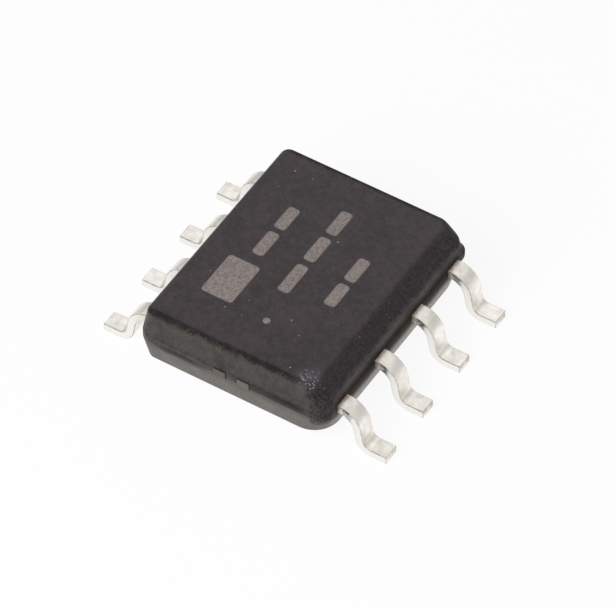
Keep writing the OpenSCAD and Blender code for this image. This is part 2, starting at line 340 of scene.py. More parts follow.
def epoxy_measures(tree, place, grain, blotch):
    """The distances that the epoxy's finish goes by, three of them frayed by its patterns."""
    axes = add_node(tree, "ShaderNodeSeparateXYZ", inputs={"Vector": place}).outputs
    along = add_node(tree, *UNSIGNED, {0: axes["X"]})
    across = add_node(tree, *UNSIGNED, {0: axes["Y"]})
    diagonal = add_node(tree, *DIFFERENCE, {0: along, 1: axes["Y"]})
    # The upper half's colour, and the painted shade on it, run further down at the two corners of the
    # bevelled side.
    start, full, depth = CORNER_RUN
    run_down = add_node(tree, *FADE, {
        "Value": diagonal, "From Min": start * MM, "From Max": full * MM, "To Max": depth * MM})
    height = add_node(tree, *SUM, {0: axes["Z"], 1: run_down})
    # A corner leans in on its way up, which is taken out here so that its band keeps its width.
    foot, top, lean = CORNER_LEAN
    leaning = add_node(tree, *RAMP, {
        "Value": axes["Z"], "From Min": foot * MM, "From Max": top * MM, "To Max": lean * MM})
    corner = add_node(tree, *SUM, {0: diagonal, 1: leaning})
    measures = {
        "along": along, "across": across, "y": axes["Y"], "z": axes["Z"], "height": height, "corner": corner}
    patterns = {"grain": grain, "blotch": blotch}
    for name, (measure, pattern, shift) in EPOXY_FRAYS.items():
        measures[name] = add_node(tree, *SCALED_SUM, {
            0: patterns[pattern], 1: shift * MM, 2: measures[measure]})
    return measures


def filler_specks(tree, place):
    """Where a rare grain of filler shows as a pale speck."""
    cells = add_node(tree, "ShaderNodeTexVoronoi", inputs={
        "Vector": place, "Scale": per_mm(SPECK_SIZE)}).outputs
    chance = add_node(tree, "ShaderNodeSeparateColor", inputs={"Color": cells["Color"]}).outputs["Red"]
    rare = add_node(tree, *RAMP, {"Value": chance, "From Min": 0.95})
    dot = add_node(tree, *FADE, {"Value": cells["Distance"], "From Min": 0.20, "From Max": 0.06})
    return add_node(tree, *PRODUCT, {0: rare, 1: dot})


def grit_and_painted_glint(tree, place):
    """Filler crushed by a knock on the corner by the first lead: pale grit, faint haze, partly a painted
    highlight.
    """
    middle, start, end, bare = BRUISE
    away = add_node(tree, "ShaderNodeVectorMath", {"operation": "DISTANCE"}, {
        0: place, 1: [value * MM for value in middle]})
    rarity = add_node(tree, *FADE, {
        "Value": away, "From Min": start * MM, "From Max": end * MM, "To Min": bare})
    cells = add_node(tree, "ShaderNodeTexVoronoi", inputs={
        "Vector": place, "Scale": per_mm(GRIT_SIZE)}).outputs
    chance = add_node(tree, "ShaderNodeSeparateColor", inputs={"Color": cells["Color"]}).outputs["Green"]
    over = add_node(tree, *DIFFERENCE, {0: chance, 1: rarity})
    pale = add_node(tree, *RAMP, {"Value": over, "From Max": 0.38, "To Max": 0.8})
    dot = add_node(tree, *FADE, {"Value": cells["Distance"], "From Min": 0.60, "From Max": 0.20})
    grit = add_node(tree, *PRODUCT, {0: pale, 1: dot})
    haze = add_node(tree, *RAMP, {"Value": rarity, "From Min": 1.0, "From Max": bare, "To Max": 0.08})
    return add_node(tree, *LARGER, {0: grit, 1: haze})


def laser_marks(tree, place, grain):
    """Where the laser has burnt the plain marks, patchy and a little ragged at their edges."""
    plan = add_node(tree, "ShaderNodeVectorMath", {"operation": "MULTIPLY"}, {0: place, 1: (1, 1, 0)})
    nearest = 1.0
    for x, y, long, high in MARKS:
        middle = (x * MM, y * MM, 0)
        half = ((long / 2 - MARK_CORNER) * MM, (high / 2 - MARK_CORNER) * MM, 0)
        vector = plan
        for operation, other in (
                ("SUBTRACT", {1: middle}), ("ABSOLUTE", {}),
                ("SUBTRACT", {1: half}), ("MAXIMUM", {1: (0, 0, 0)})):
            vector = add_node(tree, "ShaderNodeVectorMath", {"operation": operation}, {0: vector, **other})
        gap = add_node(tree, "ShaderNodeVectorMath", {"operation": "LENGTH"}, {0: vector})
        nearest = add_node(tree, "ShaderNodeMath", {"operation": "MINIMUM"}, {0: gap, 1: nearest})
    burnt = add_node(tree, *SCALED_SUM, {0: grain, 1: MARK_FRAY * MM, 2: nearest})
    mark = add_node(tree, *FADE, {
        "Value": burnt, "From Min": (MARK_CORNER + 0.035) * MM, "From Max": (MARK_CORNER + 0.015) * MM})
    patchy = add_node(tree, *RAMP, {"Value": grain, "From Min": 0.34, "From Max": 0.62, "To Min": 0.45})
    uneven = add_node(tree, *PRODUCT, {0: mark, 1: patchy})
    height = add_node(tree, "ShaderNodeSeparateXYZ", inputs={"Vector": place}).outputs["Z"]
    on_top = add_node(tree, "ShaderNodeMath", {"operation": "GREATER_THAN"}, {0: height, 1: MARK_FLOOR * MM})
    return add_node(tree, *PRODUCT, {0: uneven, 1: on_top})


def moulded_epoxy(finishes):
    """Moulded epoxy: near black, matt from the mould's spark-eroded skin, specked with silica filler."""
    material, tree = new_material("moulded_epoxy")
    place = add_node(tree, "ShaderNodeTexCoord").outputs["Object"]
    cloud, grain, blot = [
        add_node(tree, "ShaderNodeTexNoise", inputs={
            "Vector": place, "Scale": per_mm(size), "Detail": detail, "Roughness": roughness})
        for size, detail, roughness in EPOXY_PATTERNS]
    uneven = add_node(tree, *SUM, {0: cloud, 1: blot})
    blotch = add_node(tree, *PRODUCT, {0: uneven, 1: grain})
    tone = add_node(tree, *RAMP, {"Value": blotch, "From Min": 0.33, "From Max": 0.67})

    measures = epoxy_measures(tree, place, grain, blotch)
    band = {}
    for name, (measure, start, full, strength, rise) in EPOXY_BANDS.items():
        band[name] = add_node(tree, *rise, {
            "Value": measures[measure], "From Min": start * MM, "From Max": full * MM, "To Max": strength})
    band["upper"] = add_node(tree, *DIFFERENCE, {0: 1.0, 1: band["lower"]})
    band["reflection_patchiness"] = add_node(tree, *RAMP, {"Value": tone, "To Min": 0.5})
    band["thin"] = add_node(tree, *RAMP, {
        "Value": blotch, "From Min": 0.45, "From Max": 0.60, "To Max": 0.16})
    for name, (first, *others) in EPOXY_OVERLAPS.items():
        band[name] = band[first]
        for other in others:
            band[name] = add_node(tree, *PRODUCT, {0: band[name], 1: band[other]})

    # The lower half is painted lighter in patches, a painted reflection of the white floor it faces; thin
    # pale dust lies on the walls along the leads.
    pale = add_node(tree, *COLOURS, {
        "Factor": band["end"], 6: rgba(finishes.epoxy_top), 7: rgba(finishes.epoxy_wall)})
    resin = add_node(tree, *COLOURS, {"Factor": tone, 6: rgba(finishes.epoxy_dark), 7: pale})
    dust_and_reflection_colour = add_node(tree, *COLOURS, {
        "Factor": band["toward_end"], 6: rgba(finishes.dust_and_lower_painted_reflection), 7: rgba(finishes.lower_painted_reflection)})
    dust_and_reflection_share = add_node(tree, *LARGER, {0: band["low_painted_reflection"], 1: band["side_dust"]})
    skin = add_node(tree, *COLOURS, {"Factor": dust_and_reflection_share, 6: resin, 7: dust_and_reflection_colour})

    # Painted shade: the upper end edges, the bevel and the corners of the bevelled side are painted patchily
    # in the dark resin colour, standing in for the darkness that these surfaces mirror.
    slope = add_node(tree, "ShaderNodeMath", {"operation": "SUBTRACT", "use_clamp": True}, {
        0: band["bevel"], 1: band["side"]})
    painted_shade_places = add_node(tree, *LARGER, {0: band["corner"], 1: slope})
    painted_shade_above = add_node(tree, *PRODUCT, {0: painted_shade_places, 1: band["upper"]})
    patches = add_node(tree, *RAMP, {
        "Value": grain, "From Min": 0.36, "From Max": 0.64, "To Min": 1.0, "To Max": 0.15})
    painted_shade_patches = add_node(tree, *PRODUCT, {0: painted_shade_above, 1: patches})
    bare = add_node(tree, *LARGER, {0: band["end_edge"], 1: painted_shade_patches})

    # A ragged band along the rim between the leads, the seam of the ends and a band just below that seam are
    # darker and rougher.
    dull = band["rim_between_leads"]
    for name in ("end_seam", "below_end_seam"):
        dull = add_node(tree, *LARGER, {0: dull, 1: band[name]})
    brown_on_sides = add_node(tree, *PRODUCT, {0: tone, 1: band["side"]})
    # That band is dark brown along the sides and dark at the ends.
    stained = add_node(tree, *COLOURS, {
        "Factor": brown_on_sides, 6: rgba(finishes.epoxy_dark), 7: rgba(finishes.flash)})
    for share, shade in (
            # Painted shade, in the dark resin colour.
            (bare, rgba(finishes.epoxy_dark)),
            (dull, stained),
            (filler_specks(tree, place), rgba(finishes.filler)),
            # Pale grit on the knocked corner, partly a painted highlight.
            (grit_and_painted_glint(tree, place), rgba(finishes.crushed)),
            (laser_marks(tree, place, grain), rgba(finishes.marking))):
        skin = add_node(tree, *COLOURS, {"Factor": share, 6: skin, 7: shade})

    # Along the leads the walls are rougher above the rim and sleeker below. The darker band along the rim and
    # the painted shade are roughest.
    even = add_node(tree, *RAMP, {
        "Value": grain, "From Min": 0.3, "From Max": 0.7, "To Min": 0.36, "To Max": 0.48})
    rougher = add_node(tree, *SCALED_SUM, {0: band["upper_side"], 1: 0.14, 2: even})
    sleeker = add_node(tree, *SCALED_SUM, {0: band["lower_side"], 1: -0.16, 2: rougher})
    worn = add_node(tree, *LARGER, {0: dull, 1: bare})
    rough = add_node(tree, *NUMBERS, {"Factor": worn, 2: sleeker, 3: 0.9})
    bump = add_node(tree, "ShaderNodeBump", inputs={"Strength": 0.6, "Distance": 0.007 * MM, "Height": grain})
    shader = add_node(tree, "ShaderNodeBsdfPrincipled", inputs={
        "Base Color": skin, "Roughness": rough, "IOR": 1.5, "Normal": bump})
    add_node(tree, "ShaderNodeOutputMaterial", inputs={"Surface": shader})
    return material


def matt_tin(finishes):
    """Matt tin plating on formed copper: pale, warm grey, softly mottled, rubbed dull along the edges."""
    material, tree = new_material("matt_tin_plating")
    place = add_node(tree, "ShaderNodeTexCoord").outputs["Object"]
    y = add_node(tree, "ShaderNodeSeparateXYZ", inputs={"Vector": place}).outputs["Y"]
    measures = {"y": y, "across": add_node(tree, *UNSIGNED, {0: y})}
    edge, side = [
        add_node(tree, "ShaderNodeAttribute", {"attribute_name": name}).outputs["Fac"]
        for name in (EDGE, SIDE)]
    mottle, patchy = [
        add_node(tree, "ShaderNodeTexNoise", inputs={
            "Vector": place, "Scale": per_mm(size), "Detail": detail, "Roughness": 0.6})
        for size, detail in TIN_PATTERNS]
    band = {}
    for name, (measure, start, full, strength) in TIN_BANDS.items():
        band[name] = add_node(tree, *FADE, {
            "Value": measures[measure], "From Min": start * MM, "From Max": full * MM, "To Max": strength})

    spread = add_node(tree, *RAMP, {"Value": mottle, "From Min": 0.32, "From Max": 0.62})
    tint = add_node(tree, *COLOURS, {
        "Factor": spread, 6: rgba(finishes.tin_dark), 7: rgba(finishes.tin_pale)})
    wear = add_node(tree, *RAMP, {"Value": patchy, "From Min": 0.38, "From Max": 0.60, "To Min": 0.25})
    worn = add_node(tree, *PRODUCT, {0: edge, 1: wear})
    # The plating is dull beside the body, where the moulding flash was blasted off, and stained at its root.
    blasted = add_node(tree, *PRODUCT, {0: band["beside"], 1: patchy})
    dulled = add_node(tree, *LARGER, {0: worn, 1: blasted})
    stained = add_node(tree, *PRODUCT, {0: band["root"], 1: wear})
    # Along the bevelled side a dark patch is painted on the sides of the strip just past the body, a painted
    # shadow where the body shades the strip.
    painted_shadow_patch = side
    for share in (band["past_body"], band["before_bend"], wear):
        painted_shadow_patch = add_node(tree, *PRODUCT, {0: painted_shadow_patch, 1: share})
    for share, shade in (
            (side, finishes.tin_sheared), (dulled, finishes.tin_worn),
            (stained, finishes.tin_stained), (painted_shadow_patch, finishes.painted_shadow_patch)):
        tint = add_node(tree, *COLOURS, {"Factor": share, 6: tint, 7: rgba(shade)})

    smooth = add_node(tree, *RAMP, {
        "Value": mottle, "From Min": 0.3, "From Max": 0.7, "To Min": 0.48, "To Max": 0.38})
    rough = add_node(tree, *NUMBERS, {"Factor": edge, 2: smooth, 3: 0.8})
    bump = add_node(tree, "ShaderNodeBump", inputs={
        "Strength": 0.25, "Distance": 0.008 * MM, "Height": mottle})
    plating = add_node(tree, "ShaderNodeBsdfPrincipled", inputs={
        "Base Color": tint, "Metallic": 1.0, "Roughness": rough, "Normal": bump})
    add_node(tree, "ShaderNodeOutputMaterial", inputs={"Surface": plating})
    return material


def mottled(name, first, second, size, roughness, metallic):
    """A finish of two tones in soft patches this many millimetres across, which its roughness follows."""
    material, tree = new_material(name)
    place = add_node(tree, "ShaderNodeTexCoord").outputs["Object"]
    patches = add_node(tree, "ShaderNodeTexNoise", inputs={
        "Vector": place, "Scale": per_mm(size), "Detail": 3.0, "Roughness": 0.6})
    tint = add_node(tree, *COLOURS, {"Factor": patches, 6: rgba(first), 7: rgba(second)})
    rough = add_node(tree, *RAMP, {"Value": patches, "To Min": roughness - 0.1, "To Max": roughness + 0.1})
    bump = add_node(tree, "ShaderNodeBump", inputs={
        "Strength": 0.2, "Distance": 0.004 * MM, "Height": patches})
    shader = add_node(tree, "ShaderNodeBsdfPrincipled", inputs={
        "Base Color": tint, "Metallic": metallic, "Roughness": rough, "Normal": bump})
    add_node(tree, "ShaderNodeOutputMaterial", inputs={"Surface": shader})
    return material


def sheared_copper(finishes):
    """Sheared copper: a warm torn face with fine streaks, smeared grey with tin on one of the two bars."""
    material, tree = new_material("sheared_copper")
    place = add_node(tree, "ShaderNodeTexCoord").outputs["Object"]
    along = add_node(tree, "ShaderNodeSeparateXYZ", inputs={"Vector": place}).outputs["Y"]
    smear = add_node(tree, *RAMP, {"Value": along, "From Min": 0.05 * MM, "From Max": -0.15 * MM})
    tint = add_node(tree, *COLOURS, {
        "Factor": smear, 6: rgba(finishes.copper), 7: rgba(finishes.copper_smeared)})
    stretched = add_node(tree, "ShaderNodeMapping", inputs={"Vector": place, "Scale": (1.0, 1.0, 0.3)})
    streaks = add_node(tree, "ShaderNodeTexNoise", inputs={
        "Vector": stretched, "Scale": per_mm(0.04), "Detail": 3.0, "Roughness": 0.6})
    rough = add_node(tree, *RAMP, {
        "Value": streaks, "From Min": 0.3, "From Max": 0.7, "To Min": 0.4, "To Max": 0.6})
    bump = add_node(tree, "ShaderNodeBump", inputs={
        "Strength": 0.4, "Distance": 0.006 * MM, "Height": streaks})
    shader = add_node(tree, "ShaderNodeBsdfPrincipled", inputs={
        "Base Color": tint, "Metallic": 1.0, "Roughness": rough, "Normal": bump})
    add_node(tree, "ShaderNodeOutputMaterial", inputs={"Surface": shader})
    return material


def lofted_mesh(name, rings, material):
    """A closed mesh through rings of equally many points, with flat ends, smooth but for its sharp folds."""
    count = len(rings[0])
    verts = [point for ring in rings for point in ring]
    faces = [list(range(count))[::-1], [len(verts) - count + i for i in range(count)]]
    for level in range(len(rings) - 1):
        start = level * count
        for i in range(count):
            j = (i + 1) % count
            faces.append([start + i, start + j, start + count + j, start + count + i])
    mesh = bpy.data.meshes.new(name)
    mesh.from_pydata(verts, [], faces)
    mesh.validate()
    mesh.polygons.foreach_set("use_smooth", [True] * len(mesh.polygons))
    mesh.set_sharp_from_angle(angle=SHARP_FOLD)
    mesh.materials.append(material)
    return mesh


def new_piece(name, mesh, replaced):
    """Puts a finished mesh into the scene as a piece that stands for CAD nodes."""
    piece = bpy.data.objects.new(name, mesh)
    bpy.context.scene.collection.objects.link(piece)
    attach(piece, "root")
    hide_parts(*replaced)


def between(first, last, steps):
    """Evenly spaced values from the first to the last."""
    return [first + (last - first) * i / steps for i in range(steps + 1)]


def interpolate(value, table):
    """Reads a table of (place, amount) rows, straight between its rows and level past its ends."""
    for (a, start), (b, end) in zip(table, table[1:]):
        if value <= b:
            return start + (end - start) * max(value - a, 0) / (b - a)
    return table[-1][1]


def rounding(low, high, radius):
    """The middle of the rounding between two straight walls, each given by its slope and its distance."""
    (a, c), (b, d) = low, high
    spread = math.sin(b - a)
    reach = ((c - radius) * math.sin(b) - (d - radius) * math.sin(a)) / spread
    height = ((d - radius) * math.cos(a) - (c - radius) * math.cos(b)) / spread
    return reach, height


def wall_through(slope, reach, height):
    """A straight wall whose outward side points up by this slope, through a point of the profile."""
    return slope, reach * math.cos(slope) + height * math.sin(slope)


def profile_reach(walls, radii, height):
    """How far a rounded profile of straight walls reaches out at this height."""
    for low, high, radius in zip(walls, walls[1:], radii):
        middle, level = rounding(low, high, radius)
        if height < level + radius * math.sin(low[0]):
            break
        if height <= level + radius * math.sin(high[0]) + ROUND_OFF:
            return middle + math.sqrt(max(radius ** 2 - (height - level) ** 2, 0))
    return (low[1] - height * math.sin(low[0])) / math.cos(low[0])


def rounding_levels(walls, radii, steps):
    """Heights at which a profile is cut, closer together in its roundings."""
    levels = []
    for low, high, radius in zip(walls, walls[1:], radii):
        level = rounding(low, high, radius)[1]
        levels += [level + radius * math.sin(a) for a in between(low[0], high[0], steps)]
    return levels


def rounded_ring(half_x, plain_y, bevel_y, plain_radius, bevel_radius, height):
    """A level ring with rounded corners: the plain long side at +Y, the bevelled one at -Y."""
    corners = (
        (1, 1, plain_y, plain_radius, 0),
        (-1, 1, plain_y, plain_radius, 90),
        (-1, -1, bevel_y, bevel_radius, 180),
        (1, -1, bevel_y, bevel_radius, 270),
    )
    ring = []
    for side_x, side_y, half_y, radius, start in corners:
        for turn in between(start, start + 90, CORNER_STEPS):
            ring.append((
                side_x * (half_x - radius) + radius * math.cos(math.radians(turn)),
                side_y * (half_y - radius) + radius * math.sin(math.radians(turn)),
                height))
    return ring


def body_rings(sizes):
    """Rings of the moulded body from the underside up to the top face."""
    half_x, half_y, top, bottom = BODY_HIGH.x, BODY_HIGH.y, BODY_HIGH.z, BODY_LOW.z
    low, high, draft = sizes.rim_low, sizes.rim_high, sizes.draft
    upright = math.pi / 2

    lower_x = [wall_through(draft, half_x - sizes.lower_ledge, -low), (upright, -bottom)]
    lower_y = [wall_through(draft, half_y - sizes.lower_ledge, -low), (upright, -bottom)]
    upper_x = [wall_through(draft, half_x - sizes.upper_ledge, high), (upright, top)]
    upper_y = [wall_through(draft, half_y - sizes.upper_ledge, high), (upright, top)]
    top_y = half_y - sizes.upper_ledge - math.tan(draft) * (top - high)
    bevel_wall = wall_through(upright - sizes.bevel_angle, top_y - sizes.bevel_setback, top)
    upper_bevel = [upper_y[0], bevel_wall, upper_y[1]]

    lower = []
    edge = sizes.bottom_edge
    for level in sorted({sizes.rim_cove - low, *rounding_levels(lower_y, [edge], EDGE_STEPS)}, reverse=True):
        shrink = edge - math.sqrt(max(edge ** 2 - max(level + bottom + edge, 0) ** 2, 0))
        plain = interpolate(-level, [(bottom + edge, sizes.plain_end), (low, sizes.plain_wall)]) - shrink
        bevel = interpolate(-level, [(bottom + edge, sizes.bevel_bottom), (low, sizes.bevel_wall)]) - shrink
        reach = profile_reach(lower_y, [edge], level)
        lower.append((profile_reach(lower_x, [edge], level), reach, reach, plain, bevel, -level))

    upper = []
    edge = sizes.top_edge
    bevel_edges = [sizes.bevel_edge, edge]
    foot = rounding(upper_bevel[0], upper_bevel[1], sizes.bevel_edge)[1]
    cuts = {
        high + sizes.rim_cove,
        *rounding_levels(upper_bevel, bevel_edges, EDGE_STEPS),
        *rounding_levels(upper_y, [edge], TOP_EDGE_STEPS)}
    for level in sorted(cuts):
        shrink = edge - math.sqrt(max(edge ** 2 - max(level - top + edge, 0) ** 2, 0))
        plain = interpolate(level, [(high, sizes.plain_wall), (top - edge, sizes.plain_end)]) - shrink
        bevel = interpolate(level, [
            (high, sizes.bevel_wall), (foot, sizes.bevel_foot), (top - edge, sizes.bevel_top)]) - shrink
        upper.append((
            profile_reach(upper_x, [edge], level), profile_reach(upper_y, [edge], level),
            profile_reach(upper_bevel, bevel_edges, level), plain, bevel, level))

    corner = sizes.rim_corner
    rim = [(half_x, half_y, half_y, corner, corner, level)
           for level in (low + sizes.rim_edge, high - sizes.rim_edge)]
    into_rim, out_of_rim = blended(lower[-1], rim[0], RIM_STEPS), blended(rim[1], upper[0], RIM_STEPS)
    rings = lower + into_rim + rim + out_of_rim + upper
    return [rounded_ring(*ring) for ring in rings]


def blended(first, last, steps):
    """The sizes of rings that pass from one to another in a soft double curve."""
    made = []
    for share in between(0, 1, steps)[1:-1]:
        soft = share * share * (3 - 2 * share)
        made.append((
            *(a + (b - a) * soft for a, b in zip(first[:-1], last[:-1])),
            first[-1] + (last[-1] - first[-1]) * share))
    return made


def strip_section(half_width, half_thickness, radius):
    """The rounded section of a strip, as (across, through, share of edge, share of side) points."""
    section = []
    for side_u, side_v, start in ((1, 1, 0), (-1, 1, 90), (-1, -1, 180), (1, -1, 270)):
        for turn in between(start, start + 90, STRIP_EDGE_STEPS):
            section.append((
                side_u * (half_width - radius) + radius * math.cos(math.radians(turn)),
                side_v * (half_thickness - radius) + radius * math.sin(math.radians(turn)),
                abs(math.sin(math.radians(2 * turn))),
                abs(math.cos(math.radians(turn)))))
    return section


def lead_rings(sizes):
    """Rings along one formed strip from inside the body to its tip, with the shares of edge and side."""
    half_width = sizes.width / 2
    half = sizes.thickness / 2
    bend = math.pi / 2 - sizes.lean
    tip, middle = LEAD_HIGH.y, LEAD_HIGH.z - half
    heel_y, heel_z = tip - sizes.foot, sizes.thickness + sizes.heel
    shoulder_z = middle - sizes.shoulder - half
    across = sizes.shoulder + sizes.heel + sizes.thickness
    shoulder_y = heel_y - (across + (shoulder_z - heel_z) * math.cos(bend)) / math.sin(bend)

    stations = [(sizes.root, middle, 0.0, 0.0, 0.0)]
    for turn in between(0, bend, SHOULDER_STEPS):
        reach = sizes.shoulder + half
        stations.append((
            shoulder_y + reach * math.sin(turn), shoulder_z + reach * math.cos(turn), turn, 0.0, 0.0))
    for turn in between(bend, 0, HEEL_STEPS):
        reach = sizes.heel + half
        stations.append((heel_y - reach * math.sin(turn), heel_z - reach * math.cos(turn), turn, 0.0, 0.0))
    for turn in between(0, math.pi / 2, TIP_STEPS):
        inset = sizes.tip_edge * (1 - math.cos(turn))
        stations.append((tip - sizes.tip_edge * (1 - math.sin(turn)), half, 0.0, inset, math.sin(2 * turn)))

    rings, edges, sides = [], [], []
    for y, z, turn, inset, cut in stations:
        section = strip_section(half_width - inset, half - inset, sizes.edge - inset)
        rings.append([(u, y + v * math.sin(turn), z + v * math.cos(turn)) for u, v, edge, side in section])
        edges += [max(edge, cut) for u, v, edge, side in section]
        sides += [side for u, v, edge, side in section]
    return rings, edges, sides


def lead_row_tree():
    """Sets one lead out in a row and turns a second row round to the other side."""
    tree = bpy.data.node_groups.new("lead_rows", "GeometryNodeTree")
    for name, kind in (
            ("Lead", "Object"), ("Leads per row", "Int"), ("Spacing", "Float"), ("Finish", "Material")):
        tree.interface.new_socket(name, in_out="INPUT", socket_type="NodeSocket" + kind)
    tree.interface.new_socket("Geometry", in_out="OUTPUT", socket_type="NodeSocketGeometry")
    given = add_node(tree, "NodeGroupInput").outputs
    gaps = add_node(tree, *DIFFERENCE, {0: given["Leads per row"], 1: 1.0})
    halved = add_node(tree, *PRODUCT, {0: gaps, 1: -0.5})
    first = add_node(tree, *PRODUCT, {0: halved, 1: given["Spacing"]})
    start = add_node(tree, "ShaderNodeCombineXYZ", inputs={"X": first})
    step = add_node(tree, "ShaderNodeCombineXYZ", inputs={"X": given["Spacing"]})
    line = add_node(tree, "GeometryNodeMeshLine", {"mode": "OFFSET"}, {
        "Count": given["Leads per row"], "Start Location": start, "Offset": step})
    lead = add_node(tree, "GeometryNodeObjectInfo", inputs={"Object": given["Lead"]}).outputs["Geometry"]
    row = add_node(tree, "GeometryNodeInstanceOnPoints", inputs={"Points": line, "Instance": lead})
    other = add_node(tree, "GeometryNodeTransform", inputs={
        "Geometry": row, "Rotation": (0.0, 0.0, math.pi)}).outputs["Geometry"]
    both = add_node(tree, "GeometryNodeJoinGeometry", inputs={"Geometry": row})
    tree.links.new(other, both.inputs["Geometry"])
    real = add_node(tree, "GeometryNodeRealizeInstances", inputs={"Geometry": both})
    finished = add_node(tree, "GeometryNodeSetMaterial", inputs={
        "Geometry": real, "Material": given["Finish"]})
    add_node(tree, "NodeGroupOutput", inputs={"Geometry": finished})
    return tree


def grown_mesh(name, tree, values):
    """The plain mesh that a geometry tree makes from these named inputs."""
    holder = bpy.data.objects.new(name + "_holder", bpy.data.meshes.new(name + "_holder"))
    bpy.context.scene.collection.objects.link(holder)
    modifier = holder.modifiers.new("grow", "NODES")
    modifier.node_group = tree
    for item in tree.interface.items_tree:
        if item.in_out == "INPUT":
            modifier[item.identifier] = values[item.name]
    graph = bpy.context.evaluated_depsgraph_get()
    mesh = bpy.data.meshes.new_from_object(holder.evaluated_get(graph))
    mesh.name = name
    holder.modifiers.remove(modifier)
    bpy.data.objects.remove(holder)
    return mesh


def dress(node, material):
    """Gives a CAD node that stays in view its material."""
    NODES[node].data.materials.clear()
    NODES[node].data.materials.append(material)


class CHIP_OT_moulded_body(bpy.types.Operator):
    """Builds the moulded epoxy body with its rim, drafted walls and bevel"""

    bl_idname = "chip.moulded_body"
    bl_label = "Moulded body"

    def execute(self, context):
        scene = context.scene
        mesh = lofted_mesh("epoxy_body", body_rings(scene.chip_body), moulded_epoxy(scene.chip_finishes))
        new_piece("epoxy_body", mesh, ["moulded_body"])
        return {"FINISHED"}


class CHIP_OT_leads(bpy.types.Operator):
    """Builds one formed lead and sets out both rows of it"""

    bl_idname = "chip.leads"
    bl_label = "Leads"

    def execute(self, context):
        scene = context.scene
        sizes = scene.chip_leads
        tin = matt_tin(scene.chip_finishes)
        rings, edges, sides = lead_rings(sizes)
        strip = lofted_mesh("lead_pattern", rings, tin)
        for name, shares in ((EDGE, edges), (SIDE, sides)):
            strip.attributes.new(name, "FLOAT", "POINT").data.foreach_set("value", shares)
        pattern = bpy.data.objects.new("lead_pattern", strip)
        scene.collection.objects.link(pattern)
        mesh = grown_mesh("formed_leads", lead_row_tree(), {
            "Lead": pattern, "Leads per row": sizes.per_row, "Spacing": sizes.spacing, "Finish": tin})
        bpy.data.objects.remove(pattern)
        new_piece("formed_leads", mesh, LEAD_NODES)
        return {"FINISHED"}


class CHIP_OT_die_paddle(bpy.types.Operator):
    """Finishes the copper paddle, whose sheared tie bars show on the ends of the body"""

    bl_idname = "chip.die_paddle"
    bl_label = "Die paddle"

    def execute(self, context):
        dress("die_paddle", sheared_copper(context.scene.chip_finishes))
        return {"FINISHED"}


class CHIP_OT_die(bpy.types.Operator):
    """Finishes the silicon die and the adhesive under it"""

    bl_idname = "chip.die"
    bl_label = "Die and adhesive"

    def execute(self, context):
        finishes = context.scene.chip_finishes
        # Silver-filled adhesive: a dull grey paste with flakes in it.
        dress("die_attach", mottled(
            "silver_filled_adhesive", finishes.adhesive, finishes.adhesive_flakes,
            size=0.04, roughness=0.6, metallic=0.6))
        # Polished silicon: a dark blue-grey mirror.
        dress("die", mottled(
            "polished_silicon", finishes.silicon, finishes.silicon_pale,
            size=0.2, roughness=0.2, metallic=0.8))
        return {"FINISHED"}


class CHIP_OT_bond_wires(bpy.types.Operator):
    """Finishes the eight bond wires"""

    bl_idname = "chip.bond_wires"
    bl_label = "Bond wires"

    def execute(self, context):
        finishes = context.scene.chip_finishes
        # Drawn gold wire: bright and smooth, a little paler where the tool pressed it.
        gold = mottled(
            "drawn_gold", finishes.gold, finishes.gold_pale, size=0.05, roughness=0.25, metallic=1.0)
        for node in WIRE_NODES:
            dress(node, gold)
        return {"FINISHED"}


class CHIP_OT_stage(bpy.types.Operator):
    """Lays the floor, lights the room, hangs the cards and aims the camera"""

    bl_idname = "chip.stage"
    bl_label = "Stage"

    def execute(self, context):
        scene = context.scene
        stage = scene.chip_stage
        lay_floor(stage, scene.chip_finishes)
        light_room(stage)
        hang_cards(stage)
        aim_camera(stage)
        scene.view_settings.view_transform = "Standard"
        return {"FINISHED"}


def seen_directly(tree):
    """1 for rays that show a thing itself: from the camera, mirrored or passed through."""
    path = add_node(tree, "ShaderNodeLightPath").outputs
    pair = add_node(tree, *LARGER, {0: path["Is Camera Ray"], 1: path["Is Glossy Ray"]})
    return add_node(tree, *LARGER, {0: pair, 1: path["Is Transmission Ray"]})


def lay_floor(stage, finishes):
    """A sheet of white paper under the chip, which still takes its shadow."""
    material, tree = new_material("white_paper")
    material.cycles.emission_sampling = "NONE"
    paper = add_node(tree, "ShaderNodeBsdfDiffuse", inputs={"Color": rgba(finishes.paper)})
    white = add_node(tree, "ShaderNodeEmission", inputs={"Color": rgba(finishes.paper)})
    share = add_node(tree, *PRODUCT, {0: seen_directly(tree), 1: stage.white})
    mixed = add_node(tree, "ShaderNodeMixShader", inputs={"Fac": share, 1: paper, 2: white})
    add_node(tree, "ShaderNodeOutputMaterial", inputs={"Surface": mixed})
    reach, drop = 1.0, 0.002 * MM
    mesh = bpy.data.meshes.new("paper")
    corners = [(x * reach, y * reach, -drop) for x, y in ((-1, -1), (1, -1), (1, 1), (-1, 1))]
    mesh.from_pydata(corners, [], [(0, 1, 2, 3)])
    mesh.materials.append(material)
    floor = bpy.data.objects.new("paper", mesh)
    bpy.context.scene.collection.objects.link(floor)


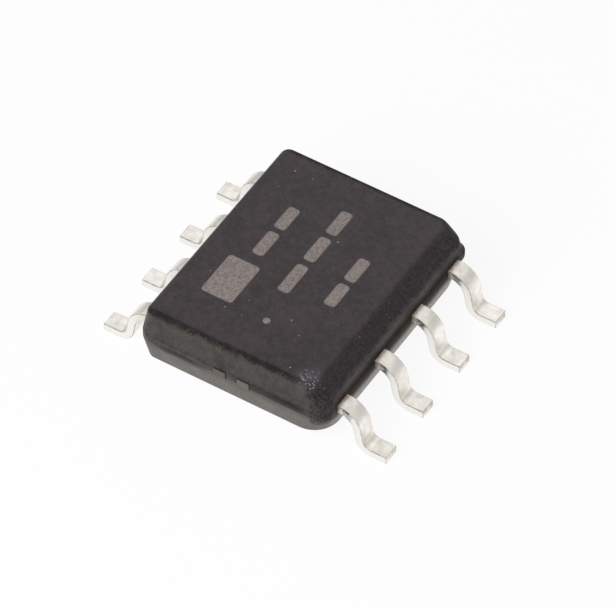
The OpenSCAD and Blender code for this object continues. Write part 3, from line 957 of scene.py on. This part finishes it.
def light_room(stage):
    """A dim white room, and one soft lamp high on the left that reflections do not show."""
    world = bpy.data.worlds.new("room")
    bpy.context.scene.world = world
    world.use_nodes = True
    world.cycles.sampling_method = "NONE"
    tree = world.node_tree
    tree.nodes.clear()
    strength = add_node(tree, *RAMP, {"Value": seen_directly(tree), "To Min": stage.room})
    walls = add_node(tree, "ShaderNodeBackground", inputs={"Color": (1, 1, 1, 1), "Strength": strength})
    add_node(tree, "ShaderNodeOutputWorld", inputs={"Surface": walls})

    lamp = bpy.data.lights.new("softbox", "AREA")
    lamp.shape = "SQUARE"
    lamp.size = stage.softbox_size
    lamp.energy = stage.softbox_power
    holder = bpy.data.objects.new("softbox", lamp)
    holder.location = Vector(stage.softbox_place) * stage.softbox_distance
    holder.visible_glossy = False
    holder.rotation_mode = "QUATERNION"
    holder.rotation_quaternion = (-holder.location).to_track_quat("-Z", "Y")
    bpy.context.scene.collection.objects.link(holder)


def hang_cards(stage):
    """Grey cards left, right and low behind the chip, which only show mirrored in its edges and bends."""
    for name, (side, tilt, low, high) in CARDS.items():
        material, tree = new_material(name)
        card = add_node(tree, "ShaderNodeEmission", inputs={
            "Color": (1, 1, 1, 1), "Strength": getattr(stage, name)})
        add_node(tree, "ShaderNodeOutputMaterial", inputs={"Surface": card})
        material.cycles.emission_sampling = "NONE"
        turn = stage.azimuth + math.radians(tilt)
        out = Vector((math.cos(turn), math.sin(turn), 0)) * side
        along = Vector((-out.y, out.x, 0)) * stage.card_width / 2
        verts, faces = [], []
        for i, rise in enumerate(between(math.radians(low), math.radians(high), CARD_STEPS)):
            spot = (out * math.cos(rise) + Vector((0, 0, math.sin(rise)))) * stage.card_distance
            verts += [spot - along, spot + along]
            faces += [(2 * i - 2, 2 * i - 1, 2 * i + 1, 2 * i)] if i else []
        mesh = bpy.data.meshes.new(name)
        mesh.from_pydata(verts, [], faces)
        mesh.materials.append(material)
        piece = bpy.data.objects.new(name, mesh)
        piece.visible_camera = piece.visible_diffuse = piece.visible_shadow = False
        bpy.context.scene.collection.objects.link(piece)


def aim_camera(stage):
    """The camera at the photograph's angle and distance."""
    a, e = stage.azimuth, stage.elevation
    back = Vector((math.sin(a) * math.cos(e), -math.cos(a) * math.cos(e), math.sin(e)))
    right = Vector((math.cos(a), math.sin(a), 0))
    up = back.cross(right)
    data = bpy.data.cameras.new("camera")
    data.lens = stage.lens
    data.clip_start, data.clip_end = 0.01, 5.0
    camera = bpy.data.objects.new("camera", data)
    camera.location = right * stage.aim_right + up * stage.aim_up + back * stage.distance
    camera.rotation_mode = "QUATERNION"
    camera.rotation_quaternion = (-back).to_track_quat("-Z", "Y")
    bpy.context.scene.collection.objects.link(camera)
    bpy.context.scene.camera = camera


class CHIP_PT_pieces(bpy.types.Panel):
    """Lists the pieces and the stage in the sidebar"""

    bl_label = "Chip"
    bl_idname = "CHIP_PT_pieces"
    bl_space_type = "VIEW_3D"
    bl_region_type = "UI"
    bl_category = "Chip"

    def draw(self, context):
        for operator in OPERATORS:
            self.layout.operator(operator.bl_idname)
        for group in SETTINGS:
            box = self.layout.box()
            values = getattr(context.scene, group)
            for name in values.__annotations__:
                box.prop(values, name)


SETTINGS = {
    "chip_body": ChipBodySizes,
    "chip_leads": ChipLeadSizes,
    "chip_finishes": ChipFinishes,
    "chip_stage": ChipStage,
}
OPERATORS = (
    CHIP_OT_moulded_body,
    CHIP_OT_leads,
    CHIP_OT_die_paddle,
    CHIP_OT_die,
    CHIP_OT_bond_wires,
    CHIP_OT_stage,
)


def register():
    for name, group in SETTINGS.items():
        bpy.utils.register_class(group)
        setattr(bpy.types.Scene, name, bpy.props.PointerProperty(type=group))
    for operator in OPERATORS:
        bpy.utils.register_class(operator)
    bpy.utils.register_class(CHIP_PT_pieces)


def unregister():
    bpy.utils.unregister_class(CHIP_PT_pieces)
    for operator in reversed(OPERATORS):
        bpy.utils.unregister_class(operator)
    for name, group in reversed(SETTINGS.items()):
        delattr(bpy.types.Scene, name)
        bpy.utils.unregister_class(group)


def main():
    register()
    bpy.ops.chip.moulded_body()
    bpy.ops.chip.leads()
    bpy.ops.chip.die_paddle()
    bpy.ops.chip.die()
    bpy.ops.chip.bond_wires()
    bpy.ops.chip.stage()


if __name__ == "__main__":
    main()
